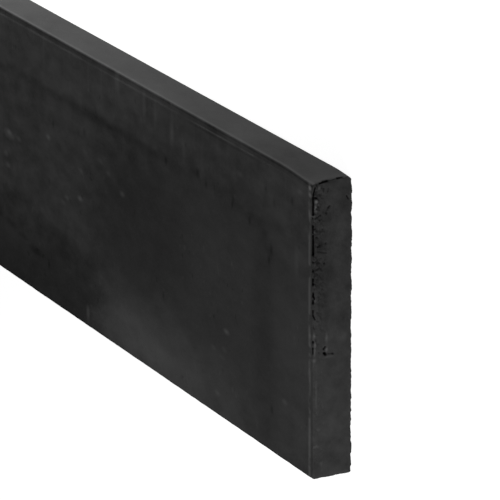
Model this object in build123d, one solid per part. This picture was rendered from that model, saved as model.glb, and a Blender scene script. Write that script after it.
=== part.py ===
from build123d import *
import os

# Smooth concrete gravel board: the precast plank that stands on edge between two slotted fence posts.
# The board is one casting. It is poured on edge between two upright mould walls, so both broad faces come
# out mould-smooth, the mould floor forms the foot edge, and the pour edge is trowelled by hand. The top rail
# of the mould wall leaves a lap mark on the face, just under the pour edge: a shallow strip that leans
# inwards and ends in a small ledge.
# Frame: the board lies flat on its back face. X runs along the length, +Y points to the pour edge, which is
# the upper edge once the board stands in a fence, and +Z is the outward side of the face. The origin is the
# middle of the back face.

# Driving dimensions of the casting, in millimetres
LENGTH = 1840.0
WIDTH = 250.0
THICKNESS = 35.0

# Eased arrises, as radii
FOOT_ARRIS = 2.0
POUR_ARRIS_FACE = 2.0
POUR_ARRIS_BACK = 3.0
END_ARRIS = 1.2

# Lap mark on the face: its reach from where the pour arris ends, its depth, and the run of its ledge
LAP_WIDTH = 4.5
LAP_DEPTH = 0.7
LEDGE_RUN = 0.6

# How far a cut runs past the solid on each side
OVERRUN = 5.0

half_length = LENGTH / 2
pour_edge = WIDTH / 2


def rounded_section():
    """The cross-section in Y and Z, with a radius on each of its four arrises."""
    with BuildSketch(Plane.YZ.offset(-half_length)) as section:
        Rectangle(WIDTH, THICKNESS, align=(Align.CENTER, Align.MIN))
        corners = section.vertices()
        foot_corners = corners.group_by(Axis.X)[0]
        pour_back, pour_face = corners.group_by(Axis.X)[-1].sort_by(Axis.Y)
        fillet(foot_corners, FOOT_ARRIS)
        fillet(pour_back, POUR_ARRIS_BACK)
        fillet(pour_face, POUR_ARRIS_FACE)
    return section.sketch


def lap_section():
    """The wedge of the lap mark: from the arris it leans into the face, then a ledge leads back out."""
    arris_end = pour_edge - POUR_ARRIS_FACE
    ledge = arris_end - LAP_WIDTH
    above = THICKNESS + OVERRUN
    with BuildSketch(Plane.YZ.offset(-half_length - OVERRUN)) as section:
        with BuildLine():
            Polyline(
                (arris_end, THICKNESS),
                (ledge + LEDGE_RUN, THICKNESS - LAP_DEPTH),
                (ledge, THICKNESS),
                (ledge, above),
                (arris_end, above),
                close=True,
            )
        make_face()
    return section.sketch


def gravel_board():
    """The whole casting: the section drawn out to length, its end arrises eased, the lap mark cut in."""
    blank = extrude(rounded_section(), amount=LENGTH)
    eased = fillet(blank.faces().filter_by(Axis.X).edges(), END_ARRIS)
    return eased - extrude(lap_section(), amount=LENGTH + 2 * OVERRUN)


os.makedirs("parts", exist_ok=True)
board = gravel_board()
export_step(board, "parts/gravel_board.step")
print("gravel_board", board.bounding_box().size, "volume", round(board.volume), "mm3")
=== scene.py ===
# %% [markdown]
# # A concrete gravel board
# A gravel board is the precast plank at the foot of a fence. It stands on edge between two slotted posts
# and keeps the soil off the panel above. This one is smooth, dyed anthracite all through, and lies flat
# as it would in a yard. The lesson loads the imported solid, builds a finer skin in the same place, wears
# that skin with Geometry Nodes, gives it a concrete finish, and lights it so that the picture matches the
# photograph.

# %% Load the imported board
import math

import bmesh
import bpy
import numpy as np
from mathutils import Matrix, Vector


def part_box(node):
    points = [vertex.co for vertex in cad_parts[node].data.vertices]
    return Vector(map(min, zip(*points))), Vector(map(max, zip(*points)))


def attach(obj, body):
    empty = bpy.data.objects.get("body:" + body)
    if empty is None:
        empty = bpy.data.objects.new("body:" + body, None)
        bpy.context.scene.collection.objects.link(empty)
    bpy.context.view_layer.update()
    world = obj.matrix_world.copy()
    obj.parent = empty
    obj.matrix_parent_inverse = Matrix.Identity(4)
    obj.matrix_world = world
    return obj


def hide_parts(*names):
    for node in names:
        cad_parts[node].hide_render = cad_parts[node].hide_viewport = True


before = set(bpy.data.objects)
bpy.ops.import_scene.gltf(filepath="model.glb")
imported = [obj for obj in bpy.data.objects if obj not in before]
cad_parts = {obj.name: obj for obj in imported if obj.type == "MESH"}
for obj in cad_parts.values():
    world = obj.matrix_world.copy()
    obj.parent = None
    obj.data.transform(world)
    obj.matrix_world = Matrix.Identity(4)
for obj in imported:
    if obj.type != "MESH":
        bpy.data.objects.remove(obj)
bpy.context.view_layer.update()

MM = 0.001
low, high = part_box("gravel_board")
length, width, thickness = ((high[axis] - low[axis]) / MM for axis in range(3))
half_length, half_width = length / 2, width / 2
print(f"packed board: {length:.0f} x {width:.0f} x {thickness:.0f} mm")

# %% [markdown]
# ## The section and its lines
# The real board has the same section all along: a flat rectangle whose four arrises are eased, because a
# sharp concrete edge breaks when the mould comes off. A box with a bevel would give that outline, but its
# faces would be single quads, and relief needs points to move. So the section is drawn as a ring of
# points. Each point knows which way is outwards, and a ring can drop points where the board needs fewer
# of them. All sizes are in millimetres.

# %% Section lines
FOOT_ARRIS = 2.0
POUR_ARRIS_FACE = 2.0
POUR_ARRIS_BACK = 3.0
LAP_WIDTH = 4.5
LEDGE_RUN = 0.6
FINE = 0.7
COARSEST = 16

margin = max(FOOT_ARRIS, POUR_ARRIS_FACE, POUR_ARRIS_BACK)
lap_ledge = half_width - POUR_ARRIS_FACE - LAP_WIDTH
lap_deepest = lap_ledge + LEDGE_RUN


def fine_lines(first, last):
    """Lines about FINE apart, in a count that can be halved until the cells are COARSEST lines wide."""
    count = COARSEST * round((last - first) / (COARSEST * FINE))
    return [first + (last - first) * index / count for index in range(count + 1)]


across = fine_lines(margin - half_width, half_width - margin)
through = fine_lines(margin, thickness - margin)
deepest_at = min(range(0, len(across), 2), key=lambda index: abs(across[index] - lap_deepest))
across[deepest_at] = lap_deepest
across[deepest_at - 1] = (lap_deepest + lap_ledge) / 2
across[deepest_at - 2] = lap_ledge
print(f"{len(across)} lines across the width, {len(through)} through the thickness")

# %% Outline of the section
ARC_STEPS = 5
NEAR_ARRIS = 8.0
QUARTER_TURN = math.pi / 2


def outline():
    """The section's points, anticlockwise seen from +X, with their normals, radii, ranks and grid corners."""
    last_y, last_z = len(across) - 1, len(through) - 1
    runs = [
        [(half_width, z, last_y, i, i) for i, z in enumerate(through)],
        [(y, thickness, i, last_z, i) for i, y in reversed(list(enumerate(across)))],
        [(-half_width, z, 0, i, i) for i, z in reversed(list(enumerate(through)))],
        [(y, 0.0, i, 0, i) for i, y in enumerate(across)],
    ]
    corners = [(1, 1, POUR_ARRIS_FACE), (-1, 1, FOOT_ARRIS), (-1, -1, FOOT_ARRIS), (1, -1, POUR_ARRIS_BACK)]
    spots = []
    for turn, (run, (side_y, side_z, radius)) in enumerate(zip(runs, corners)):
        normal = (round(math.cos(turn * QUARTER_TURN)), round(math.sin(turn * QUARTER_TURN)))
        ends = (run[0], run[-1])
        for y, z, grid_y, grid_z, rank in run:
            to_end = min(math.hypot(y - end[0], z - end[1]) for end in ends)
            spots.append({"place": (y, z), "normal": normal, "radius": math.inf, "grid": (grid_y, grid_z),
                          "rank": rank, "near": to_end < NEAR_ARRIS})
        centre_y = side_y * (half_width - radius)
        centre_z = thickness / 2 + side_z * (thickness / 2 - radius)
        for step in range(ARC_STEPS + 1):
            angle = (turn + step / ARC_STEPS) * QUARTER_TURN
            normal = (math.cos(angle), math.sin(angle))
            place = (centre_y + radius * normal[0], centre_z + radius * normal[1])
            spots.append({"place": place, "normal": normal, "radius": radius, "grid": ends[1][2:4],
                          "rank": 0, "near": True})
    return spots


section = outline()
print(f"{len(section)} points round the section")

# %% [markdown]
# ## The blank
# The blank is the section drawn out along the board: ring after ring, joined by faces, with a grid over
# each end. The near end fills much of the picture, so its cells are as small as a pixel. From there the
# rings lose every second point, then every fourth, and so on, so the long middle stays light. A sweep
# with one ring for the whole length would need ten times the faces for the same detail.

# %% Rings of the two ends
END_ARRIS = 1.2
ROUND_STEPS = 4
CAP_INSETS = (1.8, 2.4)
NEAR_ZONES = [(14.0, 0.7, 1), (26.0, 1.4, 2), (46.0, 2.8, 4), (70.0, 4.0, 8)]
FAR_ZONES = [(14.0, 1.4, 2), (34.0, 2.8, 4), (60.0, 4.0, 8)]


def end_rings(zones):
    """Rings of one end from its face inwards: distance from the end, inset, tilt of the normal and step."""
    step = zones[0][2]
    rings = [(0.0, inset, 1.0, step) for inset in reversed(CAP_INSETS)]
    for index in range(ROUND_STEPS, -1, -1):
        angle = index / ROUND_STEPS * QUARTER_TURN
        inset = END_ARRIS * (1 - math.cos(angle))
        rings.append((END_ARRIS * (1 - math.sin(angle)), inset, math.sin(angle), step))
    for reach, spacing, step in zones:
        while rings[-1][0] + spacing < reach:
            rings.append((rings[-1][0] + spacing, 0.0, 0.0, step))
    return rings


near_rings = end_rings(NEAR_ZONES)
far_rings = end_rings(FAR_ZONES)
print(f"{len(near_rings)} rings at the near end, {len(far_rings)} at the far end")

# %% Points of the blank
BODY_SPACING = 6.0
points, normals, faces = [], [], []


def add_point(place, normal):
    points.append(place)
    normals.append(normal)
    return len(points) - 1


def add_ring(x, inset, tilt, step):
    """One ring of the section, shrunk by inset. Returns its points by their place in the outline."""
    sign = math.copysign(1, x)
    flat = math.sqrt(1 - tilt * tilt)
    ring = {}
    for key, spot in enumerate(section):
        if spot["rank"] % step == 0 or (spot["near"] and spot["rank"] % 2 == 0):
            move = min(inset, spot["radius"])
            y = spot["place"][0] - move * spot["normal"][0]
            z = spot["place"][1] - move * spot["normal"][1]
            y = min(max(y, inset - half_width), half_width - inset)
            z = min(max(z, inset), thickness - inset)
            normal = (sign * tilt, flat * spot["normal"][0], flat * spot["normal"][1])
            ring[key] = add_point((x, y, z), normal)
    return ring


stations = [(distance - half_length, *rest) for distance, *rest in far_rings]
start, stop = stations[-1][0], half_length - near_rings[-1][0]
count = round((stop - start) / BODY_SPACING)
for index in range(1, count):
    stations.append((start + (stop - start) * index / count, 0.0, 0.0, COARSEST))
stations += [(half_length - distance, *rest) for distance, *rest in reversed(near_rings)]
rings = [add_ring(*station) for station in stations]
print(f"{len(rings)} rings with {len(points)} points")

# %% Faces of the blank


def bridge(lower, upper):
    """Faces between two rings. One of them may have only some of the other's points."""
    sparse = sorted(min(lower, upper, key=len))
    for first, last in zip(sparse, sparse[1:] + [sparse[0] + len(section)]):
        keys = [key % len(section) for key in range(first, last + 1)]
        there = [lower[key] for key in keys if key in lower]
        back = [upper[key] for key in reversed(keys) if key in upper]
        faces.append(there + back)


def cap(x, ring, step):
    """The grid over one end, stitched to its innermost ring."""
    sign = math.copysign(1, x)
    grid = {}
    for i in range(0, len(across), step):
        for k in range(0, len(through), step):
            grid[i, k] = add_point((x, across[i], through[k]), (sign, 0.0, 0.0))
    cells = []
    for i in range(0, len(across) - 1, step):
        for k in range(0, len(through) - 1, step):
            cells.append([grid[i, k], grid[i + step, k], grid[i + step, k + step], grid[i, k + step]])
    keys = sorted(ring)
    for first, last in zip(keys, keys[1:] + keys[:1]):
        inner_first, inner_last = (grid[tuple(section[key]["grid"])] for key in (first, last))
        cells.append(list(dict.fromkeys([ring[first], ring[last], inner_last, inner_first])))
    faces.extend(cells if sign > 0 else [cell[::-1] for cell in cells])


for lower, upper in zip(rings, rings[1:]):
    bridge(lower, upper)
cap(-half_length, rings[0], FAR_ZONES[0][2])
cap(half_length, rings[-1], NEAR_ZONES[0][2])
print(f"blank: {len(points)} points, {len(faces)} faces")

# %% [markdown]
# ## Marks on the blank
# A mason measures from the edges, and so do the node trees below. Each point carries its distance from
# the near end, from either end, from the pour edge, from the face and from the nearest arris. The trees
# could work these out from the position, but stored marks keep the trees short, and the finish can read
# them too.

# %% Marks
FLAT_SHARE = 0.99
places, outwards = np.array(points), np.array(normals)
from_ends = half_length - np.abs(places[:, 0])
from_long_edges = half_width - np.abs(places[:, 1])
from_broad_faces = np.minimum(places[:, 2], thickness - places[:, 2])
marks = {
    "from_near_end": half_length - places[:, 0],
    "from_any_end": from_ends,
    "from_pour_edge": half_width - places[:, 1],
    "from_face": thickness - places[:, 2],
    "from_arris": np.median([from_ends, from_long_edges, from_broad_faces], axis=0),
    "on_face": (outwards[:, 2] > FLAT_SHARE).astype(float),
    "on_near_end": (outwards[:, 0] > FLAT_SHARE).astype(float),
}
print("marks:", ", ".join(f"{name} 0 to {values.max():.0f}" for name, values in marks.items()))

# %% The board's object
QUAD_CORNERS = 4
MERGE_SHARE = 0.01
LITRES = 1000.0
mesh = bpy.data.meshes.new("gravel_board_cast")
mesh.from_pydata((places * MM).tolist(), [], faces)
for name, values in marks.items():
    mesh.attributes.new(name, "FLOAT", "POINT").data.foreach_set("value", values.astype(np.float32))
cast_normal = mesh.attributes.new("cast_normal", "FLOAT_VECTOR", "POINT")
cast_normal.data.foreach_set("vector", outwards.astype(np.float32).ravel())

shell = bmesh.new()
shell.from_mesh(mesh)
bmesh.ops.remove_doubles(shell, verts=shell.verts, dist=FINE * MM * MERGE_SHARE)
bmesh.ops.triangulate(shell, faces=[face for face in shell.faces if len(face.verts) > QUAD_CORNERS])
open_edges = [edge for edge in shell.edges if not edge.is_manifold]
volume = shell.calc_volume(signed=True)
shell.to_mesh(mesh)
shell.free()
mesh.shade_smooth()
board = bpy.data.objects.new("gravel_board_cast", mesh)
bpy.context.scene.collection.objects.link(board)
triangles = sum(len(polygon.vertices) - 2 for polygon in mesh.polygons)
print(f"{triangles} triangles, {len(open_edges)} open edges, {volume * LITRES:.2f} litres")

# %% [markdown]
# ## One helper for nodes
# Node trees are drawn by hand in Blender's editors. Built from a script they stay readable only if each
# node takes one line, so a single small function adds a node, sets its properties, and fills its inputs
# with values or with the outputs of other nodes. A list fills the inputs in the order of the node's
# panel, and a dictionary fills them by name. For Map Range that order is the value, where it starts and
# ends, and what it then becomes. Noises get a character from a few names: how many layers of detail they
# have, and how strong the fine ones are.

# %% Node helper
MATH = "ShaderNodeMath"
VECTOR = "ShaderNodeVectorMath"
RANGE = "ShaderNodeMapRange"
NOISE = "ShaderNodeTexNoise"
SMOOTHLY = {"interpolation_type": "SMOOTHSTEP"}
SINGLE, SOFT, CLOUDY, BLOTCHY = ({"Detail": layers} for layers in (1.0, 2.0, 3.0, 4.0))
GRITTY, CRUMBLY = {"Detail": 3.0, "Roughness": 0.6}, {"Detail": 4.0, "Roughness": 0.6}
RAGGED, TORN, STONY = ({"Detail": 5.0, "Roughness": strength} for strength in (0.6, 0.62, 0.65))


def node(tree, kind, inputs=(), out=0, **settings):
    """Adds one node with its settings and links, and returns the output that is asked for."""
    made = tree.nodes.new(kind)
    for name, value in settings.items():
        setattr(made, name, value)
    for socket, value in (inputs.items() if isinstance(inputs, dict) else enumerate(inputs)):
        if isinstance(value, bpy.types.NodeSocket):
            tree.links.new(value, made.inputs[socket])
        else:
            made.inputs[socket].default_value = value
    return made.outputs[out] if len(made.outputs) else made


# %% [markdown]
# ## Relief trees
# Every relief below works alike: a depth in millimetres is worked out for each point, and the point sinks
# by that depth against its outward direction. Only a thin flash on the near end is raised, so the skin
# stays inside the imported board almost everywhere. The relief could be painted by hand in Sculpt Mode, but
# a tree has its sizes as named inputs, so a learner can turn them in the modifier panel.

# %% Start, move and finish of a relief tree
concrete = bpy.data.materials.new("anthracite_dyed_cast_concrete")


def relief_tree(name, sizes, reads):
    """A new tree, with its inputs, the marks that it reads, and each point's place in millimetres."""
    tree = bpy.data.node_groups.new(name, "GeometryNodeTree")
    tree.interface.new_socket("Geometry", in_out="INPUT", socket_type="NodeSocketGeometry")
    for size, value in sizes.items():
        socket = tree.interface.new_socket(size, in_out="INPUT", socket_type="NodeSocketFloat")
        socket.default_value = value
    tree.interface.new_socket("Finish", in_out="INPUT", socket_type="NodeSocketMaterial")
    tree.interface.new_socket("Geometry", in_out="OUTPUT", socket_type="NodeSocketGeometry")
    given = tree.nodes.new("NodeGroupInput").outputs
    read = {mark: node(tree, "GeometryNodeInputNamedAttribute", {"Name": mark}, data_type="FLOAT")
            for mark in reads}
    here = node(tree, "GeometryNodeInputPosition")
    return tree, given, read, node(tree, VECTOR, {0: here, "Scale": 1 / MM}, operation="SCALE")


def sunk(tree, geometry, depth):
    """The geometry with each point sunk by a depth in millimetres."""
    outward = node(tree, "GeometryNodeInputNamedAttribute", {"Name": "cast_normal"}, data_type="FLOAT_VECTOR")
    metres = node(tree, MATH, [depth, -MM], operation="MULTIPLY")
    offset = node(tree, VECTOR, {0: outward, "Scale": metres}, operation="SCALE")
    return node(tree, "GeometryNodeSetPosition", {"Geometry": geometry, "Offset": offset})


def cast_through(tree, sizes, given, geometry):
    """Ends a tree with real geometry and its finish, runs it on the board and keeps the plain mesh."""
    real = node(tree, "GeometryNodeRealizeInstances", [geometry])
    dressed = node(tree, "GeometryNodeSetMaterial", {"Geometry": real, "Material": given["Finish"]})
    node(tree, "NodeGroupOutput", [dressed])
    before = np.array([vertex.co for vertex in board.data.vertices])
    modifier = board.modifiers.new(tree.name, "NODES")
    modifier.node_group = tree
    values = {**sizes, "Finish": concrete}
    for item in tree.interface.items_tree:
        if item.in_out == "INPUT" and item.name in values:
            modifier[item.identifier] = values[item.name]
    depsgraph = bpy.context.evaluated_depsgraph_get()
    result = board.evaluated_get(depsgraph)
    made = bpy.data.meshes.new_from_object(result, preserve_all_data_layers=True, depsgraph=depsgraph)
    board.modifiers.remove(modifier)
    board.data = made
    moved = np.linalg.norm(np.array([vertex.co for vertex in made.vertices]) - before, axis=1) / MM
    print(f"{tree.name}: points moved {moved.mean():.3f} mm on average, {moved.max():.2f} at most")


# %% [markdown]
# ## The mould's skin
# The broad faces copy the mould wall, so they are smooth but never quite flat: the wall bulges a little
# between its stiffeners. The lap mark under the pour edge is where the wall's top rail overlapped. It
# leans inwards and ends in a small ledge, clear in some stretches and lost in others. The lap could be
# cut with a boolean, but as a depth over the distance from the pour edge it can fade in and out along the
# board.

# %% Waves of the mould wall
SKIN_SIZES = {"Wave depth": 0.35, "Wave length": 120.0, "Lap depth": 0.45, "Lap patch": 45.0, "Lap end": 90.0}
SKIN_MARKS = ("from_any_end", "from_pour_edge", "on_face")

skin, given, read, place = relief_tree("mould_skin", SKIN_SIZES, SKIN_MARKS)
wave_scale = node(skin, MATH, [1.0, given["Wave length"]], operation="DIVIDE")
waves = node(skin, NOISE, {"Vector": place, "Scale": wave_scale, **SOFT})
wave_depth = node(skin, MATH, [waves, given["Wave depth"]], operation="MULTIPLY")
print(f"{skin.name}: {len(skin.nodes)} nodes with the waves")

# %% Lap mark
LAP_NOISE, LAP_FAINT_SHARE = (0.38, 0.58), 0.25
LAP_END_SHARE = 0.1
to_ledge, to_deepest = half_width - lap_ledge, half_width - lap_deepest

from_pour = read["from_pour_edge"]
lean = node(skin, RANGE, [from_pour, POUR_ARRIS_FACE, to_deepest, 0.0, given["Lap depth"]])
ledge_rise = node(skin, RANGE, [from_pour, to_deepest, to_ledge, given["Lap depth"], 0.0])
lap_depth = node(skin, MATH, [lean, ledge_rise], operation="MINIMUM")
patch_scale = node(skin, MATH, [1.0, given["Lap patch"]], operation="DIVIDE")
patches = node(skin, NOISE, {"Vector": place, "Scale": patch_scale, **CLOUDY})
clear = node(skin, RANGE, [patches, *LAP_NOISE, LAP_FAINT_SHARE])
ends = node(skin, RANGE, [read["from_any_end"], 0.0, given["Lap end"], LAP_END_SHARE], **SMOOTHLY)
for share in (clear, ends, read["on_face"]):
    lap_depth = node(skin, MATH, [lap_depth, share], operation="MULTIPLY")
depth = node(skin, MATH, [wave_depth, lap_depth], operation="ADD")
cast_through(skin, SKIN_SIZES, given, sunk(skin, given["Geometry"], depth))

# %% [markdown]
# ## Worn arrises and a dubbed corner
# Concrete is weakest at its edges. The end arrises crumble where the end plates of the mould let the
# fines run out, and on the back arris of the near end they left a thin flash. The long arrises stay
# almost straight. At the near end the trowel also dubbed the pour edge off towards the face. A bevel
# modifier would wear every edge alike, so here a noise decides where the edge has gone, and it bites
# deeper near the ends.

# %% Crumbled arrises
WEAR_SIZES = {"End wear": 1.15, "Long wear": 0.3, "Wear reach": 3.5, "Chip length": 9.0,
              "Corner drop": 2.8, "Corner reach": 55.0, "Back corner drop": 1.3, "Back corner reach": 24.0,
              "Flash height": 2.4, "Flash width": 2.6}
WEAR_MARKS = ("from_near_end", "from_any_end", "from_pour_edge", "from_face", "from_arris")
END_ZONE = 7.0
BACK_ZONE, BACK_WEAR_SHARE = 7.0, 0.3
LOST_NOISE = (0.38, 0.72)

wear, given, read, place = relief_tree("worn_arrises", WEAR_SIZES, WEAR_MARKS)
chip_scale = node(wear, MATH, [1.0, given["Chip length"]], operation="DIVIDE")
crumbs = node(wear, NOISE, {"Vector": place, "Scale": chip_scale, **CRUMBLY})
bite = node(wear, RANGE, [crumbs, *LOST_NOISE])
deepest = node(wear, RANGE, [read["from_any_end"], 0.0, END_ZONE, given["End wear"], given["Long wear"]],
               **SMOOTHLY)
from_back = node(wear, MATH, [thickness, read["from_face"]], operation="SUBTRACT")
spared = node(wear, RANGE, [from_back, 0.0, BACK_ZONE, BACK_WEAR_SHARE])
near_arris = node(wear, RANGE, [read["from_arris"], 0.0, given["Wear reach"], 1.0, 0.0], **SMOOTHLY)
for share in (deepest, spared, near_arris):
    bite = node(wear, MATH, [bite, share], operation="MULTIPLY")
worn = sunk(wear, given["Geometry"], bite)
print(f"{wear.name}: {len(wear.nodes)} nodes with the crumbled arrises")

# %% Flash and dubbed corner
LEAK_NOISE = (0.4, 0.62)
CORNER_POWER = 2.5
CORNER_FADE = 22.0

from_near_end = read["from_near_end"]
lip = node(wear, RANGE, [from_back, 0.0, given["Flash width"], given["Flash height"], 0.0], **SMOOTHLY)
at_end = node(wear, RANGE, [from_near_end, 0.0, END_ARRIS, MM, 0.0])
leaked = node(wear, RANGE, [crumbs, *LEAK_NOISE, 1.0, 0.0])
for share in (at_end, leaked):
    lip = node(wear, MATH, [lip, share], operation="MULTIPLY")
flash = node(wear, "ShaderNodeCombineXYZ", {"X": lip})
flashed = node(wear, "GeometryNodeSetPosition", {"Geometry": worn, "Offset": flash})

drops = []
for side, name in ((read["from_face"], "Corner"), (from_back, "Back corner")):
    towards = node(wear, RANGE, [side, 0.0, thickness, 1.0, 0.0])
    roll = node(wear, MATH, [towards, CORNER_POWER], operation="POWER")
    along = node(wear, RANGE, [from_near_end, 0.0, given[f"{name} reach"], given[f"{name} drop"], 0.0],
                 **SMOOTHLY)
    drops.append(node(wear, MATH, [roll, along], operation="MULTIPLY"))
drop = node(wear, MATH, drops, operation="ADD")
fade = node(wear, RANGE, [read["from_pour_edge"], 0.0, CORNER_FADE, -MM, 0.0])
drop_metres = node(wear, MATH, [drop, fade], operation="MULTIPLY")
dubbing = node(wear, "ShaderNodeCombineXYZ", {"Y": drop_metres})
dubbed = node(wear, "GeometryNodeSetPosition", {"Geometry": flashed, "Offset": dubbing})
cast_through(wear, WEAR_SIZES, given, dubbed)

# %% [markdown]
# ## Hollows in the near end
# Where the end plate met the mould wall, cement slurry leaked out and left a broken crevice just inside
# the arris, short strokes and a band of honeycombed stone beside it, a broken scallop, and a few blow-
# holes from trapped air. They could be cut out with booleans, but a boolean needs a cutter for each and
# leaves slivers. Here each blow-hole is one point with a radius, each crevice is a line, and every point
# of the skin asks how far the nearest of them is. A crevice on an arris is sunk one way, inwards and away
# from the edge, because points that follow their own normals would fold over each other there.

# %% Blow-holes
HOLLOW_SIZES = {"Crevice depth share": 1.0, "Honeycomb depth": 2.5, "Honeycomb reach": 15.0,
                "Bowl depth share": 0.95, "Blow-holes per square metre": 900.0}
HOLLOW_MARKS = (*WEAR_MARKS, "on_near_end")
END_PITS = [(84.0, 26.0, 1.0), (56.0, 24.5, 1.0), (92.0, 28.6, 1.0)]
BLOW_HOLE_RADII, BLOW_HOLE_SEED = (0.5, 1.0), 7
# Random Value has sockets for each kind of data, and these are its places for plain numbers.
RANDOM_LEAST, RANDOM_MOST, RANDOM_OUT = 2, 3, 1

hollows, given, read, place = relief_tree("end_hollows", HOLLOW_SIZES, HOLLOW_MARKS)
clouds = []
for y, z, radius in END_PITS:
    centre = Vector((half_length, y, z)) * MM
    clouds.append(node(hollows, "GeometryNodePoints", {"Position": centre, "Radius": radius * MM}))
at_end = node(hollows, MATH, [read["from_any_end"], FINE], operation="LESS_THAN")
inside = node(hollows, MATH, [read["from_arris"], margin], operation="GREATER_THAN")
chosen = node(hollows, MATH, [at_end, inside], operation="MULTIPLY")
scatter = node(hollows, "GeometryNodeDistributePointsOnFaces",
               {"Mesh": given["Geometry"], "Selection": chosen, "Seed": BLOW_HOLE_SEED,
                "Density": given["Blow-holes per square metre"]})
smallest, largest = (radius * MM for radius in BLOW_HOLE_RADII)
radii = node(hollows, "FunctionNodeRandomValue",
             {RANDOM_LEAST: smallest, RANDOM_MOST: largest, "Seed": BLOW_HOLE_SEED}, out=RANDOM_OUT)
clouds.append(node(hollows, "GeometryNodeSetPointRadius", {"Points": scatter, "Radius": radii}))
joined = hollows.nodes.new("GeometryNodeJoinGeometry")
for cloud in reversed(clouds):
    hollows.links.new(cloud, joined.inputs[0])
holes = joined.outputs[0]
print(f"{len(END_PITS)} blow-holes placed by hand, and a scatter with seed {BLOW_HOLE_SEED}")

# %% Bowls of the blow-holes
CRUMB_WIDTH, RAGGED_SHARES = 2.6, (0.45, 1.55)

here = node(hollows, "GeometryNodeInputPosition")
crumbs = node(hollows, NOISE, {"Vector": place, "Scale": 1 / CRUMB_WIDTH, **GRITTY})
ragged = node(hollows, RANGE, [crumbs, 0.0, 1.0, *RAGGED_SHARES])
nearest = node(hollows, "GeometryNodeSampleNearest", {"Geometry": holes, "Sample Position": here})
sampled = []
for field, kind in (("GeometryNodeInputPosition", "FLOAT_VECTOR"), ("GeometryNodeInputRadius", "FLOAT")):
    sampled.append(node(hollows, "GeometryNodeSampleIndex",
                        {"Geometry": holes, "Value": node(hollows, field), "Index": nearest}, data_type=kind))
hole_place, hole_radius = sampled
away = node(hollows, VECTOR, [here, hole_place], out="Value", operation="DISTANCE")
ragged_away = node(hollows, MATH, [away, ragged], operation="MULTIPLY")
share = node(hollows, MATH, [ragged_away, hole_radius], operation="DIVIDE")
squared = node(hollows, MATH, [share, share], operation="MULTIPLY")
left = node(hollows, MATH, [1.0, squared], operation="SUBTRACT", use_clamp=True)
hole_depth = node(hollows, MATH, [left], operation="SQRT")
radius_mm = node(hollows, MATH, [hole_radius, 1 / MM], operation="MULTIPLY")
for size in (radius_mm, given["Bowl depth share"]):
    hole_depth = node(hollows, MATH, [hole_depth, size], operation="MULTIPLY")
print(f"{hollows.name}: {len(hollows.nodes)} nodes with the bowls")

# %% Places of the crevices
ARRIS_INSET = 0.4
ARRIS = thickness - ARRIS_INSET
ARRIS_CREVICES = [(110.5, 97.2, 1.25, 3.2), (94.9, 93.8, 0.8, 1.6), (88.0, 82.0, 0.95, 2.2),
                  (79.5, 64.0, 1.2, 3.2), (58.4, 57.6, 0.7, 1.4), (51.6, 50.2, 0.8, 1.5),
                  (43.9, 39.5, 1.0, 2.4), (32.3, 29.6, 1.1, 2.6), (26.4, 23.6, 0.9, 2.0),
                  (18.0, 14.2, 0.8, 1.8), (-8.0, -9.0, 0.9, 1.8), (-13.6, -18.0, 0.8, 1.8)]
BENT_CREVICES = [((119.5, 33.0), (112.0, 34.4), 0.8, 1.5), ((110.9, 34.4), (110.6, 31.0), 0.9, 1.6),
                 ((29.4, 33.8), (27.2, 33.4), 0.8, 1.6), ((13.4, 34.2), (10.6, 33.0), 0.7, 1.4),
                 ((122.4, 29.0), (123.2, 21.5), 0.6, 1.5), ((124.0, 13.0), (124.4, 6.0), 0.6, 1.5)]
SCALLOP = [((-15.6, 25.3), (-13.9, 23.4), 0.8, 1.5), ((-19.0, 24.4), (-20.0, 23.2), 1.3, 2.4),
           ((-19.7, 21.6), (-20.0, 18.4), 0.6, 0.5), ((-20.1, 17.8), (-20.3, 16.4), 0.8, 0.9)]
STROKES = [((102.6, 19.8), (101.2, 21.2), 0.9, 1.0), ((100.8, 21.6), (97.4, 23.6), 0.7, 0.6),
           ((117.6, 25.0), (115.4, 25.4), 0.7, 0.8), ((117.4, 20.4), (114.4, 21.6), 0.6, 0.7),
           ((93.8, 33.0), (96.0, 28.0), 0.7, 1.0), ((70.2, 30.4), (70.9, 28.2), 1.0, 1.1),
           ((71.0, 28.0), (71.8, 24.6), 0.8, 0.5), ((66.4, 30.0), (64.4, 22.4), 0.9, 0.5),
           ((58.0, 33.6), (60.6, 27.4), 0.8, 0.7), ((50.8, 33.8), (53.0, 28.4), 0.9, 0.8),
           ((83.0, 30.6), (84.6, 25.4), 0.7, 0.5), ((37.4, 31.6), (40.6, 25.6), 0.8, 0.5),
           ((112.4, 32.0), (111.6, 25.0), 0.7, 0.6), ((108.6, 4.6), (106.0, 3.2), 0.7, 0.9)]
crevices = [((first, ARRIS), (last, ARRIS), half_gap, full) for first, last, half_gap, full in ARRIS_CREVICES]
crevices += BENT_CREVICES + SCALLOP + STROKES
print(f"{len(crevices)} crevices, {max(crevice[3] for crevice in crevices)} mm deep at most")

# %% Crevices
CREVICE_INWARDS = (0.9, 2.4)

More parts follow.
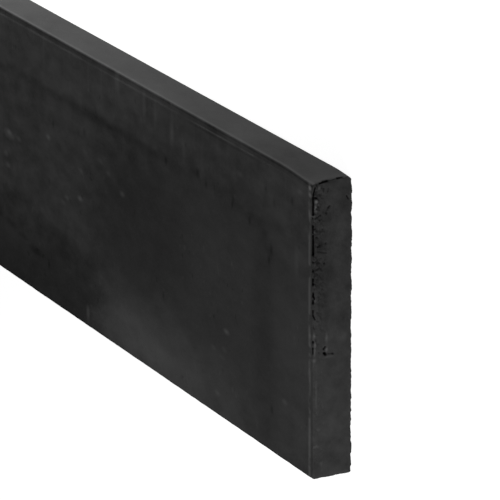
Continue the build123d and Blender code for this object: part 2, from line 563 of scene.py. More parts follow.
flat = node(hollows, VECTOR, [here, (0.0, 1.0, 1.0)], operation="MULTIPLY")
on_plane = node(hollows, VECTOR, [flat, (half_length * MM, 0.0, 0.0)], operation="ADD")
crevice = 0.0
for first, last, half_gap, full_depth in crevices:
    start, end = (Vector((half_length, y, z)) * MM for y, z in (first, last))
    line = node(hollows, "GeometryNodeCurvePrimitiveLine", {"Start": start, "End": end})
    edges = node(hollows, "GeometryNodeCurveToMesh", {"Curve": line})
    away = node(hollows, "GeometryNodeProximity", {0: edges, "Sample Position": on_plane}, out="Distance",
                target_element="EDGES")
    away_mm = node(hollows, MATH, [away, 1 / MM], operation="MULTIPLY")
    ragged_away = node(hollows, MATH, [away_mm, ragged], operation="MULTIPLY")
    gap = node(hollows, RANGE, [ragged_away, half_gap / 2, half_gap, full_depth, 0.0], **SMOOTHLY)
    crevice = node(hollows, MATH, [crevice, gap], operation="MAXIMUM")
at_end = node(hollows, RANGE, [read["from_near_end"], *CREVICE_INWARDS, 1.0, 0.0], **SMOOTHLY)
for share in (given["Crevice depth share"], at_end):
    crevice = node(hollows, MATH, [crevice, share], operation="MULTIPLY")
print(f"{hollows.name}: {len(hollows.nodes)} nodes with the crevices")

# %% Honeycomb
STONE_WIDTH, STONE_SMEAR, COMB_NOISE = 4.2, 1.6, (0.45, 0.7)
COMB_EDGE, COMB_FAR_SHARE = 1.0, 0.12
COMB_FADE, COMB_FOOT_SHARE = (75.0, 165.0), 0.2

upright = node(hollows, VECTOR, [place, (1.0, 1 / STONE_SMEAR, 1.0)], operation="MULTIPLY")
stones = node(hollows, NOISE, {"Vector": upright, "Scale": 1 / STONE_WIDTH, **STONY})
comb = node(hollows, RANGE, [stones, *COMB_NOISE, 0.0, given["Honeycomb depth"]])
band = node(hollows, RANGE, [read["from_face"], COMB_EDGE, given["Honeycomb reach"], 1.0, COMB_FAR_SHARE],
            **SMOOTHLY)
lower = node(hollows, RANGE, [read["from_pour_edge"], *COMB_FADE, 1.0, COMB_FOOT_SHARE], **SMOOTHLY)
for share in (band, lower, read["on_near_end"]):
    comb = node(hollows, MATH, [comb, share], operation="MULTIPLY")
print(f"{hollows.name}: {len(hollows.nodes)} nodes with the honeycomb")

# %% Sink the hollows and mark how much painted shade they get
SHADE_AT, COMB_SHADE_AT = 1.5, 3.2
CREVICE_LEAN, LEAN_ZONE = 0.6, (2.5, 5.0)

opened = node(hollows, MATH, [hole_depth, crevice], operation="MAXIMUM")
open_shade = node(hollows, RANGE, [opened, 0.0, SHADE_AT])
comb_shade = node(hollows, RANGE, [comb, 0.0, COMB_SHADE_AT])
hollow_shade = node(hollows, MATH, [open_shade, comb_shade], operation="MAXIMUM")
marked = node(hollows, "GeometryNodeStoreNamedAttribute",
              {"Geometry": given["Geometry"], "Name": "hollow", "Value": hollow_shade},
              data_type="FLOAT", domain="POINT")
pitted = node(hollows, MATH, [hole_depth, comb], operation="MAXIMUM")
deeper = node(hollows, MATH, [pitted, crevice], operation="SUBTRACT")
beside_depth = node(hollows, MATH, [deeper, 0.0], operation="MAXIMUM")

leans = {"X": -1.0}
for axis, mark in (("Y", "from_pour_edge"), ("Z", "from_face")):
    leans[axis] = node(hollows, RANGE, [read[mark], *LEAN_ZONE, -CREVICE_LEAN, 0.0])
leaning = node(hollows, "ShaderNodeCombineXYZ", leans)
inwards = node(hollows, VECTOR, [leaning], operation="NORMALIZE")
crevice_metres = node(hollows, MATH, [crevice, MM], operation="MULTIPLY")
offset = node(hollows, VECTOR, {0: inwards, "Scale": crevice_metres}, operation="SCALE")
pitted_end = sunk(hollows, marked, beside_depth)
cracked = node(hollows, "GeometryNodeSetPosition", {"Geometry": pitted_end, "Offset": offset})
cast_through(hollows, HOLLOW_SIZES, given, cracked)

# %% [markdown]
# ## The finish: anthracite-dyed cast concrete
# The pigment goes through the whole mix, so a chip is as dark as the skin. What the eye sees is cement
# paste pressed against a smooth mould: almost black, matt, and cloudy where the paste cured unevenly. An
# image of real concrete would be quick, but it would stretch over the arrises. So the colour is one dark
# grey times a tone, and the tone is a sum of small marks, each with its real size in millimetres on
# Object coordinates.

# %% Colour
CEMENT_SKIN = "#2f2f2f"


def linear(code):
    """A colour written as sRGB hex, as the linear values that the nodes take."""
    shares = [int(code[index:index + 2], 16) / 255 for index in (1, 3, 5)]
    return tuple(s / 12.92 if s <= 0.04045 else ((s + 0.055) / 1.055) ** 2.4 for s in shares)


print("cement skin, linear:", [round(share, 4) for share in linear(CEMENT_SKIN)])

# %% Start of the finish
SIDE_SHARES = (0.6, 0.85)

concrete.use_nodes = True
finish = concrete.node_tree
finish.nodes.clear()
metres = node(finish, "ShaderNodeTexCoord", out="Object")
place = node(finish, VECTOR, {0: metres, "Scale": 1 / MM}, operation="SCALE")
x_place, y_place = (node(finish, "ShaderNodeSeparateXYZ", [place], out=axis) for axis in "XY")
read = {mark: node(finish, "ShaderNodeAttribute", out="Fac", attribute_name=mark)
        for mark in ("from_any_end", "from_pour_edge", "from_face", "hollow")}
facing = node(finish, "ShaderNodeAttribute", out="Vector", attribute_name="cast_normal")
turned = node(finish, VECTOR, [facing], operation="ABSOLUTE")
sides = []
for axis in "XYZ":
    share = node(finish, "ShaderNodeSeparateXYZ", [turned], out=axis)
    sides.append(node(finish, RANGE, [share, *SIDE_SHARES]))
on_ends, on_edges, on_faces = sides
print(f"{concrete.name}: {len(finish.nodes)} nodes to start from")

# %% Helpers for tones
tones = []


def lay(tone, *shares):
    """Adds a tone to the finish, as far as each of its shares lets it show."""
    for share in shares:
        tone = node(finish, MATH, [tone, share], operation="MULTIPLY")
    tones.append(tone)


def away_from(centre, reach):
    """Distance from a place, as a share of a reach that may differ along each axis."""
    offset = node(finish, VECTOR, [place, centre], operation="SUBTRACT")
    scaled = node(finish, VECTOR, [offset, reach], operation="DIVIDE")
    return node(finish, VECTOR, [scaled], out="Value", operation="LENGTH")


# %% [markdown]
# ### Clouds, blotches and grain
# Paste smears along the mould while it settles, so clouds and blotches are longer than they are wide. A
# single noise looks like fog. Three sizes together read as concrete: clouds wider than a hand, blotches
# the size of a thumb, and the grain of the sand. In two places on the face the paste lay quiet, and there
# and on the trowelled edges the blotches fade.

# %% Clouds, blotches and grain
SMEAR = 1.65
CLOUD_WIDTH, BLOTCH_WIDTH, GRAIN_WIDTH = 90.0, 13.0, 2.6
CLOUD_TONE, BLOTCH_TONE, GRAIN_TONE = 0.22, 0.45, 0.09
NOISE_SPAN = (0.3, 0.7)
TROWEL_SHARE = 0.4
QUIET_SHARE, QUIET_CORE = 0.35, 0.5
QUIET_ZONES = [((745.0, -20.0, thickness), (290.0, 130.0, 30.0)),
               ((400.0, -118.0, thickness), (170.0, 62.0, 30.0))]

quiet = [node(finish, RANGE, [on_edges, 0.0, 1.0, 1.0, TROWEL_SHARE])]
for centre, reach in QUIET_ZONES:
    quiet.append(node(finish, RANGE, [away_from(centre, reach), QUIET_CORE, 1.0, QUIET_SHARE], **SMOOTHLY))
smeared = node(finish, VECTOR, [place, (1 / SMEAR, 1.0, 1.0)], operation="MULTIPLY")
for size, tone, shares in ((CLOUD_WIDTH, CLOUD_TONE, []), (BLOTCH_WIDTH, BLOTCH_TONE, quiet),
                           (GRAIN_WIDTH, GRAIN_TONE, [])):
    noise = node(finish, NOISE, {"Vector": smeared, "Scale": 1 / size, **CLOUDY})
    lay(node(finish, RANGE, [noise, *NOISE_SPAN, -tone / 2, tone / 2]), *shares)
print(f"{len(tones)} tones of {CLOUD_WIDTH:.0f}, {BLOTCH_WIDTH:.0f} and {GRAIN_WIDTH} mm")

# %% [markdown]
# ### The tide line
# A board that dries in a stack keeps a damp heart. Where its edge stopped, fine salts left a dark, broken
# tide line that follows the pour edge and turns down before the end. The heart could be painted as a
# mask, but it is a rounded rectangle, whose signed distance is a short formula: negative in the heart,
# positive in the dry margin. A noise bends it, patches break the line, and one long stretch of it stays
# clear.

# %% Edge of the damp heart
FRONT_FROM_END, FRONT_FROM_POUR, FRONT_BEYOND_FOOT = 73.0, 53.0, 60.0
FRONT_CORNER = 45.0
FRONT_BEND, FRONT_BEND_AT_END, FRONT_BEND_WIDTH = 3.0, 8.0, 38.0
CLEAR_FROM, CLEAR_TO, CLEAR_FADE = 330.0, 715.0, 60.0

heart_low, heart_high = -half_width - FRONT_BEYOND_FOOT, half_width - FRONT_FROM_POUR
heart_middle, heart_half_width = (heart_high + heart_low) / 2, (heart_high - heart_low) / 2
centred = node(finish, MATH, [y_place, heart_middle], operation="SUBTRACT")
outs = []
for value, half in ((x_place, half_length - FRONT_FROM_END), (centred, heart_half_width)):
    size = node(finish, MATH, [value], operation="ABSOLUTE")
    outs.append(node(finish, MATH, [size, half - FRONT_CORNER], operation="SUBTRACT"))
corner = node(finish, "ShaderNodeCombineXYZ", outs)
corner_out = node(finish, VECTOR, [corner, (0.0, 0.0, 0.0)], operation="MAXIMUM")
beyond = node(finish, VECTOR, [corner_out], out="Value", operation="LENGTH")
deepest = node(finish, MATH, outs, operation="MAXIMUM")
within = node(finish, MATH, [deepest, 0.0], operation="MINIMUM")
rounded = node(finish, MATH, [beyond, within], operation="ADD")
near_turn = (CLEAR_TO - CLEAR_FADE, CLEAR_TO + CLEAR_FADE)
bend = node(finish, NOISE, {"Vector": place, "Scale": 1 / FRONT_BEND_WIDTH, **TORN})
bend_share = node(finish, RANGE, [bend, *NOISE_SPAN, -1.0])
bend_reach = node(finish, RANGE, [x_place, *near_turn, FRONT_BEND, FRONT_BEND_AT_END])
bend_mm = node(finish, MATH, [bend_share, bend_reach, -FRONT_CORNER], operation="MULTIPLY_ADD")
from_front = node(finish, MATH, [rounded, bend_mm], operation="ADD")
print(f"damp heart from {heart_low:.0f} to {heart_high:.0f} mm across the board")

# %% Tide line and dry margin
LINE_WIDTH, LINE_TONE, LINE_PATCH = 8.0, -0.22, 70.0
LINE_NOISE, LINE_SHARES = (0.42, 0.62), (0.2, 0.9)
LOWER_FADE, LOWER_SHARE = (15.0, 62.0), 0.1
MARGIN_FADE, MARGIN_FADE_AT_END, MARGIN_TONE = 9.0, 55.0, 0.15


def beside(value, line, reach, tone, core=0.0):
    """A tone that is full on a line and within its core, and gone one reach away."""
    off = node(finish, MATH, [value, line], operation="SUBTRACT")
    size = node(finish, MATH, [off], operation="ABSOLUTE")
    return node(finish, RANGE, [size, core, reach, tone, 0.0], **SMOOTHLY)


line_patches = node(finish, NOISE, {"Vector": place, "Scale": 1 / LINE_PATCH, **CLOUDY})
by_chance = node(finish, RANGE, [line_patches, *LINE_NOISE, *LINE_SHARES])
half_clear = (CLEAR_TO - CLEAR_FROM) / 2
stretch = beside(x_place, CLEAR_FROM + half_clear, half_clear, 1.0, half_clear - CLEAR_FADE)
clear = node(finish, MATH, [by_chance, stretch], operation="MAXIMUM")
lower = node(finish, RANGE, [y_place, *LOWER_FADE, LOWER_SHARE], **SMOOTHLY)
lay(beside(from_front, 0.0, LINE_WIDTH, LINE_TONE), clear, lower)
margin_fade = node(finish, RANGE, [x_place, *near_turn, MARGIN_FADE, MARGIN_FADE_AT_END])
lay(node(finish, RANGE, [from_front, 0.0, margin_fade, 0.0, MARGIN_TONE], **SMOOTHLY))
print(f"{len(tones)} tones with the tide line and the margin")

# %% [markdown]
# ### Bloom, damp, specks and pits
# Some marks have a place of their own: a pale bloom of lime by the foot edge, a damp dark stretch further
# along, blotches on the tide line, a few lime specks, run streaks, air pits as dark spots of painted shade,
# and on the near end the pale facets and stains of the broken stone, with a painted highlight on the lit
# floor of one broken scallop. An image mask could hold them all, but it would be no use on a board of
# another length. Each is a stretched sphere here: full inside its core, and fading from there to its
# reach. The large ones have a ragged rim, from a noise that is added to the distance. Two of them reach
# round to the pour edge, which is duller near the end and paler again at its corner.

# %% Places of the large patches
PATCH_DEPTH, POUR_PATCH_DEPTH = 25.0, 80.0
BLOOM = [(620, -112, 135, 64, 0.45, 0.5), (600, -101, 85, 30, 0.1, 0.42),
         (735, -112, 110, 52, 0.2, 0.3), (650, -107, 55, 20, 0, 0.3),
         (548, -110, 44, 20, 0.1, 0.28), (509, -112, 5, 12, 0, 0.8)]
DAMP = [(385, -122, 200, 86, 0.75, -0.3), (375, -135, 185, 62, 0, -0.25),
        (352, -75, 20, 5.5, 0, -0.25), (376, -80, 22, 4.5, 0, -0.25),
        (402, -86, 20, 5.5, 0, -0.3), (600, 10, 155, 85, 0.3, -0.19),
        (836, -25, 29, 130, 0, -0.22)]
TIDE_BLOTCHES = [(586, 73, 40, 8, 0, -0.15), (662, 69.5, 26, 7, 0, -0.13),
                 (722, 76.5, 20, 6, 0, -0.16), (792, 68, 18, 8, 0, -0.2),
                 (818, 63, 22, 9, 0, -0.16), (838, 59, 15, 9, 0, -0.16),
                 (850.5, 46, 8, 12, 0, -0.12), (866, 69, 18, 10, 0, -0.18),
                 (824, 108, 26, 9, 0, -0.12)]
PALE_PATCHES = [(600, 112, 95, 26, 0, 0.2), (640, 121, 90, 6, 0.3, 0.28),
                (790, -45, 170, 120, 0.4, 0.12), (350, 9.5, 14, 6, 0.2, 0.6)]
POUR_PATCHES = [(865, 135, 120, 20, 0.2, -0.38), (914, 131, 26, 12, 0, 0.3)]
patches = [(*patch, PATCH_DEPTH) for patch in BLOOM + DAMP + TIDE_BLOTCHES + PALE_PATCHES]
patches += [(*patch, POUR_PATCH_DEPTH) for patch in POUR_PATCHES]
print(f"{len(patches)} large patches")

# %% Places of the small marks
SPECK_REACH, END_SPECK_REACH = (7.5, 3.8, 6.0), (3.6, 3.2, 6.0)
SPECKS = [(351, 11, 0.7), (372, 10, 0.5), (434, 29, 0.8), (343, -11, 0.5), (347, -21, 0.6),
          (470, -17, 0.6), (497, -10, 1), (462, -23, 0.3), (500, 16, 0.4), (509, 36, 0.3),
          (539, 36, 0.3), (554, 29, 0.4), (581, 18, 0.7), (772, -46, 1), (755, -105, 0.5),
          (798, 97, 0.3), (899, 110, 0.5), (873, -74, 0.5), (748, -67, 0.3), (768, -63, 0.3),
          (764, -71, 0.25)]
END_SPECKS = [(915.2, 118.0, 3.2), (915.2, 112.5, 2.2), (914.4, 105.0, 0.7), (915.0, 96.0, 0.8),
              (915.0, -4.0, 0.6), (915.0, -12.0, 0.7), (915.0, -20.0, 0.6)]
STREAK_REACH = (6.0, 19.0, 6.0)
STREAKS = [(676, 98, 0.5), (625.5, 109, 0.5), (646, 106, 0.25), (575, 115, 0.4),
           (698, 90, 0.2), (731, 86, 0.15), (893, 50, 0.25)]
# Air pits are painted as dark spots: painted shade for hollows that the mesh does not have.
PIT_REACH, PIT_SHADE_TONE = (4.0, 6.5, 6.0), -0.3
PITS = [(785, 70), (851, 48), (723, 77), (847, 38), (430, -91), (814, 62),
        (445, 44), (508, 53), (434, -12), (665, 71), (738, 71), (842, 97),
        (856, 89), (886, 99), (657, -50), (851, -88)]
END_MARK_DEPTH = 6.0
# The pale mark at (-16.1, 22.5) is a painted highlight on the lit floor of the broken scallop.
END_MARKS = [(107.7, 31.8, 2.6, 2.2, 2.2), (101.6, 32.0, 5.2, 2.0, 2.2), (118.6, 29.1, 2.4, 1.9, 1.2),
             (95.6, 34.2, 1.5, 2.2, 1.4), (91.2, 33.2, 2.2, 1.5, 1.0), (83.4, 32.8, 2.4, 1.6, 1.2),
             (26.0, 32.8, 2.4, 1.6, 1.0), (65.0, 30.0, 85.0, 18.0, -0.24), (115.0, 8.0, 11.0, 9.0, -0.16),
             (-16.1, 22.5, 2.8, 1.8, 1.5), (-22.6, 20.5, 1.8, 8.0, 0.5), (-6.5, 22.5, 7.0, 1.9, 0.8),
             (-8.0, 8.7, 8.0, 8.0, 0.4), (-4.0, 33.4, 5.0, 1.7, 1.6), (-11.0, 32.8, 3.4, 1.6, 1.6),
             (-17.0, 33.2, 5.0, 1.6, 1.3), (-24.0, 33.6, 2.6, 2.4, 1.0), (-53.0, 31.8, 20.0, 1.5, 0.5)]
print(f"{len(SPECKS + END_SPECKS)} specks, {len(STREAKS)} streaks, {len(PITS)} pits")
print(f"{len(END_MARKS)} marks on the near end")

# %% Placed marks
RIM_WIDTH, RIM_DEPTH = 28.0, 0.35

rim = node(finish, NOISE, {"Vector": smeared, "Scale": 1 / RIM_WIDTH, **RAGGED})
ragged = node(finish, RANGE, [rim, 0.0, 1.0, -RIM_DEPTH, RIM_DEPTH])
placed = []
for x, y, reach_x, reach_y, core, tone, reach_z in patches:
    placed.append(((x, y, thickness), (reach_x, reach_y, reach_z), core, tone, ragged))
for spots, reach in ((SPECKS, SPECK_REACH), (END_SPECKS, END_SPECK_REACH), (STREAKS, STREAK_REACH)):
    placed += [((x, y, thickness), reach, 0.0, tone, 0.0) for x, y, tone in spots]
placed += [((x, y, thickness), PIT_REACH, 0.0, PIT_SHADE_TONE, 0.0) for x, y in PITS]
for y, z, reach_y, reach_z, tone in END_MARKS:
    placed.append(((half_length, y, z), (END_MARK_DEPTH, reach_y, reach_z), 0.0, tone, 0.0))
for centre, reach, core, tone, rim_share in placed:
    uneven = node(finish, MATH, [away_from(centre, reach), rim_share], operation="ADD")
    lay(node(finish, RANGE, [uneven, core, 1.0, tone, 0.0], **SMOOTHLY))
print(f"{len(tones)} tones with the placed marks")

# %% [markdown]
# ### Runs and ticks
# Water ran down the face from the pour edge and left faint pale runs. In some patches the skin also has
# short pale and dark ticks, where the mould oil dragged. A wave texture would space them evenly, but a
# stretched noise leaves gaps, and only its highest and lowest values show.

# %% Runs and ticks
RUN_WIDTH, RUN_LENGTH, RUN_REACH = 9.0, 120.0, 55.0
RUN_TONE, RUN_NOISE = 0.4, (0.55, 0.8)
TICK_SIZE, TICK_TONE, TICK_PATCH = (6.0, 9.0, 6.0), 0.3, 60.0
TICK_ZONE_NOISE, PALE_TICK_NOISE, DARK_TICK_NOISE = (0.48, 0.66), (0.66, 0.76), (0.34, 0.24)

run = node(finish, VECTOR, [place, (1 / RUN_WIDTH, 1 / RUN_LENGTH, 0.0)], operation="MULTIPLY")
run_noise = node(finish, NOISE, {"Vector": run, "Scale": 1.0, **SOFT})
runs = node(finish, RANGE, [run_noise, *RUN_NOISE, 0.0, RUN_TONE])
fade = node(finish, RANGE, [read["from_pour_edge"], 0.0, RUN_REACH, 1.0, 0.0])
lay(runs, fade, on_faces)

tick_patches = node(finish, NOISE, {"Vector": place, "Scale": 1 / TICK_PATCH, **SOFT})
tick_zone = node(finish, RANGE, [tick_patches, *TICK_ZONE_NOISE, 0.0, TICK_TONE])
tick = node(finish, VECTOR, [place, TICK_SIZE], operation="DIVIDE")
tick_noise = node(finish, NOISE, {"Vector": tick, "Scale": 1.0, **SINGLE})
pale_ticks = node(finish, RANGE, [tick_noise, *PALE_TICK_NOISE, 0.0, 1.0])
dark_ticks = node(finish, RANGE, [tick_noise, *DARK_TICK_NOISE, 0.0, -1.0])
lay(node(finish, MATH, [pale_ticks, dark_ticks], operation="ADD"), tick_zone, on_faces)
print(f"{len(tones)} tones with the runs and ticks")

# %% [markdown]
# ### Pour edge, lap and ledge
# The trowelled pour edge is paler, because trowelling brings fine cement up. Its arris towards the face gets
# a painted highlight, where the rounding catches the light. Just below it on the face a thin painted shadow
# stands for the shade under the arris's lip. The lap mark gets a little painted shade in its lean. Its
# ledge gets a painted highlight where it is proud, most of all in one clear stretch, with a painted shadow
# under it. A pointiness mask could find such edges, but it works on every edge alike. Distances from the
# pour edge put each line where the board has it.

# %% Pour edge and its arris
POUR_TONE, POUR_ARRIS_HIGHLIGHT_TONE, POUR_ARRIS_HIGHLIGHT_WIDTH = 0.2, 0.9, 3.6
ARRIS_SHADOW_TONE, ARRIS_SHADOW_AT, ARRIS_SHADOW_WIDTH = -0.35, 2.2, 1.4

from_pour = read["from_pour_edge"]
# The pour edge's own paler tone, and a painted highlight along its arris towards the face.
pour_tone_and_arris_highlight = [read["from_face"], 0.0, POUR_ARRIS_HIGHLIGHT_WIDTH, POUR_ARRIS_HIGHLIGHT_TONE + POUR_TONE, POUR_TONE]
lay(node(finish, RANGE, pour_tone_and_arris_highlight), on_edges)
# A thin painted shadow on the face, under the lip of the pour edge's arris.
lay(beside(from_pour, ARRIS_SHADOW_AT, ARRIS_SHADOW_WIDTH, ARRIS_SHADOW_TONE), on_faces)
print(f"{len(tones)} tones with the pour edge")

# %% Lap and ledge
LAP_SHADE_TONE, LEDGE_HIGHLIGHT_TONE, LEDGE_FAINT_HIGHLIGHT_TONE, LEDGE_BROKEN_HIGHLIGHT_SHARE = -0.1, 0.5, 0.12, 0.25
LEDGE_CLEAR_AT, LEDGE_CLEAR_CORE, LEDGE_CLEAR_REACH = 772.0, 42.0, 75.0
UNDER_LEDGE_SHADOW_TONE, UNDER_LEDGE, UNDER_LEDGE_WIDTH = -0.25, 2.2, 2.0
HIGHLIGHT_PATCH, FAINT_HIGHLIGHT_NOISE, BROKEN_HIGHLIGHT_NOISE = 20.0, (0.44, 0.58), (0.4, 0.52)

# Painted shade in the lap mark, where it leans in under the pour edge.
lay(node(finish, RANGE, [from_pour, to_deepest, to_ledge, LAP_SHADE_TONE, 0.0]), on_faces)
# Painted highlight on the ledge where it is proud: faint in patches, strong in one clear stretch.
highlight_patches = node(finish, NOISE, {"Vector": place, "Scale": 1 / HIGHLIGHT_PATCH, **BLOTCHY})
faint_ledge_highlight = node(finish, RANGE, [highlight_patches, *FAINT_HIGHLIGHT_NOISE, 0.0, LEDGE_FAINT_HIGHLIGHT_TONE])
broken_ledge_highlight = node(finish, RANGE, [highlight_patches, *BROKEN_HIGHLIGHT_NOISE, LEDGE_HIGHLIGHT_TONE * LEDGE_BROKEN_HIGHLIGHT_SHARE, LEDGE_HIGHLIGHT_TONE])
clear = beside(x_place, LEDGE_CLEAR_AT, LEDGE_CLEAR_REACH, 1.0, LEDGE_CLEAR_CORE)
clear_ledge_highlight = node(finish, MATH, [clear, broken_ledge_highlight], operation="MULTIPLY")
ledge_highlight = node(finish, MATH, [faint_ledge_highlight, clear_ledge_highlight], operation="MAXIMUM")
on_ledge = node(finish, MATH, [from_pour, to_ledge, LEDGE_RUN], operation="COMPARE")
lay(ledge_highlight, on_ledge, on_faces)
# A thin painted shadow under the ledge, in the same clear stretch.
lay(beside(from_pour, to_ledge + UNDER_LEDGE, UNDER_LEDGE_WIDTH, UNDER_LEDGE_SHADOW_TONE), clear, on_faces)
print(f"{len(tones)} tones with the lap and its ledge")

# %% [markdown]
# ### The ends
# At the ends the last few millimetres of the face get a pale painted highlight, standing for a thin fin
# of cement along the end's arris that catches the light. On the end itself the broken stone shows pale
# facets near the face, and blotches that calm down towards the foot, where the plate stayed tight.
# Separate materials for face and end would meet in a hard line, so one tree mixes them by the way that the
# skin faces.

# %% Painted highlight beside the ends
END_FIN_HIGHLIGHT_TONE, END_FIN_HIGHLIGHT_AT, END_FIN_HIGHLIGHT_WIDTH = 1.1, 5.6, 3.4
END_HIGHLIGHT_NOISE = (0.42, 0.52)

end_highlight_breaks = node(finish, RANGE, [highlight_patches, *END_HIGHLIGHT_NOISE])
# A pale painted highlight for a thin fin along the end's arris, broken in patches.
lay(beside(read["from_any_end"], END_FIN_HIGHLIGHT_AT, END_FIN_HIGHLIGHT_WIDTH, END_FIN_HIGHLIGHT_TONE), end_highlight_breaks, on_faces)
print(f"{len(tones)} tones with the rubbed face")

# %% Broken stone of the ends
FACET_TONE, FACET_WIDTH, FACET_REACH, FACET_NOISE = 0.9, 4.2, 13.0, (0.58, 0.68)
END_BLOTCH_TONE, END_BLOTCH_WIDTH = 0.26, 9.0
PLAIN_FROM, PLAIN_SHARE = (125.0, 160.0), 0.35

upright = node(finish, VECTOR, [place, (1.0, 1 / STONE_SMEAR, 1.0)], operation="MULTIPLY")
stones = node(finish, NOISE, {"Vector": upright, "Scale": 1 / FACET_WIDTH, **CLOUDY})
facets = node(finish, RANGE, [stones, *FACET_NOISE, 0.0, FACET_TONE])
near_face = node(finish, RANGE, [read["from_face"], 0.0, FACET_REACH, 1.0, 0.0])
lay(facets, near_face, on_ends)
blotches = node(finish, NOISE, {"Vector": place, "Scale": 1 / END_BLOTCH_WIDTH, **BLOTCHY})
blotch_tone = node(finish, RANGE, [blotches, *NOISE_SPAN, -END_BLOTCH_TONE / 2, END_BLOTCH_TONE / 2])
plain = node(finish, RANGE, [from_pour, *PLAIN_FROM, 1.0, PLAIN_SHARE])
lay(blotch_tone, plain, on_ends)
print(f"{len(tones)} tones in all")

# %% [markdown]
# ### The shader
# Cement paste scatters light almost evenly. Its roughness is near 0.9, and its mirror-like part is weak
# because the pores break it up. The trowelled edges are a little smoother. Hollows get painted shade: their
# stored depth darkens the tone, on top of the shade that their own walls cast. Bump gives the grain that is
# too fine for the mesh: sand of half a millimetre would vanish at this size, so it is drawn as coarse as it
# needs to show.

# %% Shader
DARKEST_TONE, HOLLOW_SHADE_SHARE = 0.25, 0.1
SKIN_ROUGHNESS, TROWEL_ROUGHNESS = 0.9, 0.65
SKIN_SPECULAR = 0.01
BUMP_GRAIN, BUMP_HEIGHT, BUMP_STRENGTH = 1.8, 0.3, 0.4

tone = 1.0
for mark in tones:
    tone = node(finish, MATH, [tone, mark], operation="ADD")
safe_tone = node(finish, MATH, [tone, DARKEST_TONE], operation="MAXIMUM")
# Painted shade: the deeper a hollow, the darker its colour.
shade = node(finish, RANGE, [read["hollow"], 0.0, 1.0, 1.0, HOLLOW_SHADE_SHARE])
shaded = node(finish, MATH, [safe_tone, shade], operation="MULTIPLY")
colour = node(finish, VECTOR, {0: linear(CEMENT_SKIN), "Scale": shaded}, operation="SCALE")
roughness = node(finish, RANGE, [on_edges, 0.0, 1.0, SKIN_ROUGHNESS, TROWEL_ROUGHNESS])
grain = node(finish, NOISE, {"Vector": place, "Scale": 1 / BUMP_GRAIN, **GRITTY})
bump = node(finish, "ShaderNodeBump",
            {"Height": grain, "Strength": BUMP_STRENGTH, "Distance": BUMP_HEIGHT * MM})
shader = node(finish, "ShaderNodeBsdfPrincipled",
              {"Base Color": colour, "Roughness": roughness, "Normal": bump,
               "Specular IOR Level": SKIN_SPECULAR})
node(finish, "ShaderNodeOutputMaterial", {"Surface": shader})
print(f"{concrete.name}: {len(finish.nodes)} nodes")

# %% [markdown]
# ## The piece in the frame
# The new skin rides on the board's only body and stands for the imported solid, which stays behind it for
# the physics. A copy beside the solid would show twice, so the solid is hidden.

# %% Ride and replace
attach(board, "root")
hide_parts("gravel_board")
print(f"{board.name} stands for the packed board")

# %% [markdown]
# ## Camera
# The photograph was taken with a long lens from more than three metres, above the pour edge and past the
# near end. The board lies flat here, so the camera looks down on it and is rolled until the pour edge is
# at the top of the picture. A camera could be placed by eye, but its place and lens come from the
# photograph's edges here: where they meet and how fast they narrow.

# %% Camera
CAMERA_PLACE = Vector((3.6529, 1.1257, 1.5283))
CAMERA_AIM = Vector((0.8147, 0.0374, 0.0350))
CAMERA_ROLL_DEG = -0.283
LENS_MM, SENSOR_MM = 303.2, 36.0
TOWARDS_POUR_EDGE = Vector((0, 1, 0))


def photo_camera():
    data = bpy.data.cameras.new("photo_camera")
    data.lens, data.sensor_width = LENS_MM, SENSOR_MM
    camera = bpy.data.objects.new("photo_camera", data)
    bpy.context.scene.collection.objects.link(camera)
    ahead = (CAMERA_AIM - CAMERA_PLACE).normalized()
    right = ahead.cross(TOWARDS_POUR_EDGE).normalized()
    up = right.cross(ahead)
    roll = Matrix.Rotation(math.radians(CAMERA_ROLL_DEG), 3, "Z")
    turn = Matrix((right, up, -ahead)).transposed() @ roll
    camera.matrix_world = Matrix.Translation(CAMERA_PLACE) @ turn.to_4x4()
    return camera


bpy.context.scene.camera = photo_camera()
print("camera distance to the near end:", round((CAMERA_PLACE - CAMERA_AIM).length, 2), "m")

# %% [markdown]
# ## Floor and light
# A studio floor in pale paint. To the camera it is almost white by its own glow, as a lit sweep would be,
# and its paint still takes the board's soft shadow. More lamp light would whiten it too, but it would
# also pale the board. A softbox past the pour edge skims the face, so that the pour edge is the brightest
# side and fades towards the near end. A smaller one lights the near end from the foot side, and an even
# white room fills the rest.

# %% Floor
FLOOR_REACH = 40.0
FLOOR_PAINT, FLOOR_SEEN_PAINT, FLOOR_GLOW = 0.8, 0.4, 0.86


def seen_directly(tree):
    """1 for rays from the camera and for mirror-like or see-through bounces, else 0."""
    path = tree.nodes.new("ShaderNodeLightPath").outputs
    first = node(tree, MATH, [path["Is Camera Ray"], path["Is Glossy Ray"]], operation="MAXIMUM")
    return node(tree, MATH, [first, path["Is Transmission Ray"]], operation="MAXIMUM")


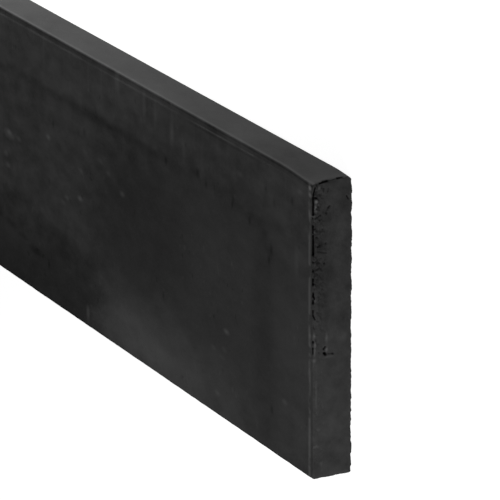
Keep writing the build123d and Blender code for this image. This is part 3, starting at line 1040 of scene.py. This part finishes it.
def floor_paint():
    """Matt white paint that glows a little where it is seen directly."""
    paint = bpy.data.materials.new("matt_white_floor_paint")
    paint.use_nodes = True
    tree = paint.node_tree
    tree.nodes.clear()
    seen = seen_directly(tree)
    grey = node(tree, RANGE, [seen, 0.0, 1.0, FLOOR_PAINT, FLOOR_SEEN_PAINT])
    matt = node(tree, "ShaderNodeBsdfDiffuse", {"Color": grey})
    glow_strength = node(tree, MATH, [seen, FLOOR_GLOW], operation="MULTIPLY")
    glow = node(tree, "ShaderNodeEmission", {"Strength": glow_strength})
    both = node(tree, "ShaderNodeAddShader", [matt, glow])
    node(tree, "ShaderNodeOutputMaterial", {"Surface": both})
    return paint


def studio_floor(reach):
    data = bpy.data.meshes.new("studio_floor")
    corners = [(-reach, -reach, 0), (reach, -reach, 0), (reach, reach, 0), (-reach, reach, 0)]
    data.from_pydata(corners, [], [range(len(corners))])
    data.materials.append(floor_paint())
    floor = bpy.data.objects.new("studio_floor", data)
    bpy.context.scene.collection.objects.link(floor)
    return floor


floor = studio_floor(FLOOR_REACH)
print("floor:", floor.name)

# %% Room and softboxes
ROOM_LIGHT = 0.27
SOFTBOXES = [("pour_side_softbox", (-0.22, 1.0, 0.22), (-0.05, 0.0, 0.0), (0.9, 0.4), 28.5),
             ("near_end_softbox", (1.55, -0.72, 0.47), (0.92, -0.08, 0.02), (0.5, 0.4), 11.4)]


def white_room():
    world = bpy.data.worlds.new("white_room")
    world.use_nodes = True
    tree = world.node_tree
    tree.nodes.clear()
    strength = node(tree, RANGE, [seen_directly(tree), 0.0, 1.0, ROOM_LIGHT, 1.0])
    room = node(tree, "ShaderNodeBackground", {"Strength": strength})
    node(tree, "ShaderNodeOutputWorld", {"Surface": room})
    bpy.context.scene.world = world


def softbox(name, place, aim, size, watts):
    data = bpy.data.lights.new(name, "AREA")
    data.shape, data.energy = "RECTANGLE", watts
    data.size, data.size_y = size
    lamp = bpy.data.objects.new(name, data)
    lamp.location = place
    lamp.rotation_euler = (Vector(aim) - Vector(place)).to_track_quat("-Z", "Y").to_euler()
    lamp.visible_camera = False
    bpy.context.scene.collection.objects.link(lamp)


white_room()
for box in SOFTBOXES:
    softbox(*box)
bpy.context.scene.view_settings.view_transform = "Standard"
print("lamps:", [box[0] for box in SOFTBOXES])
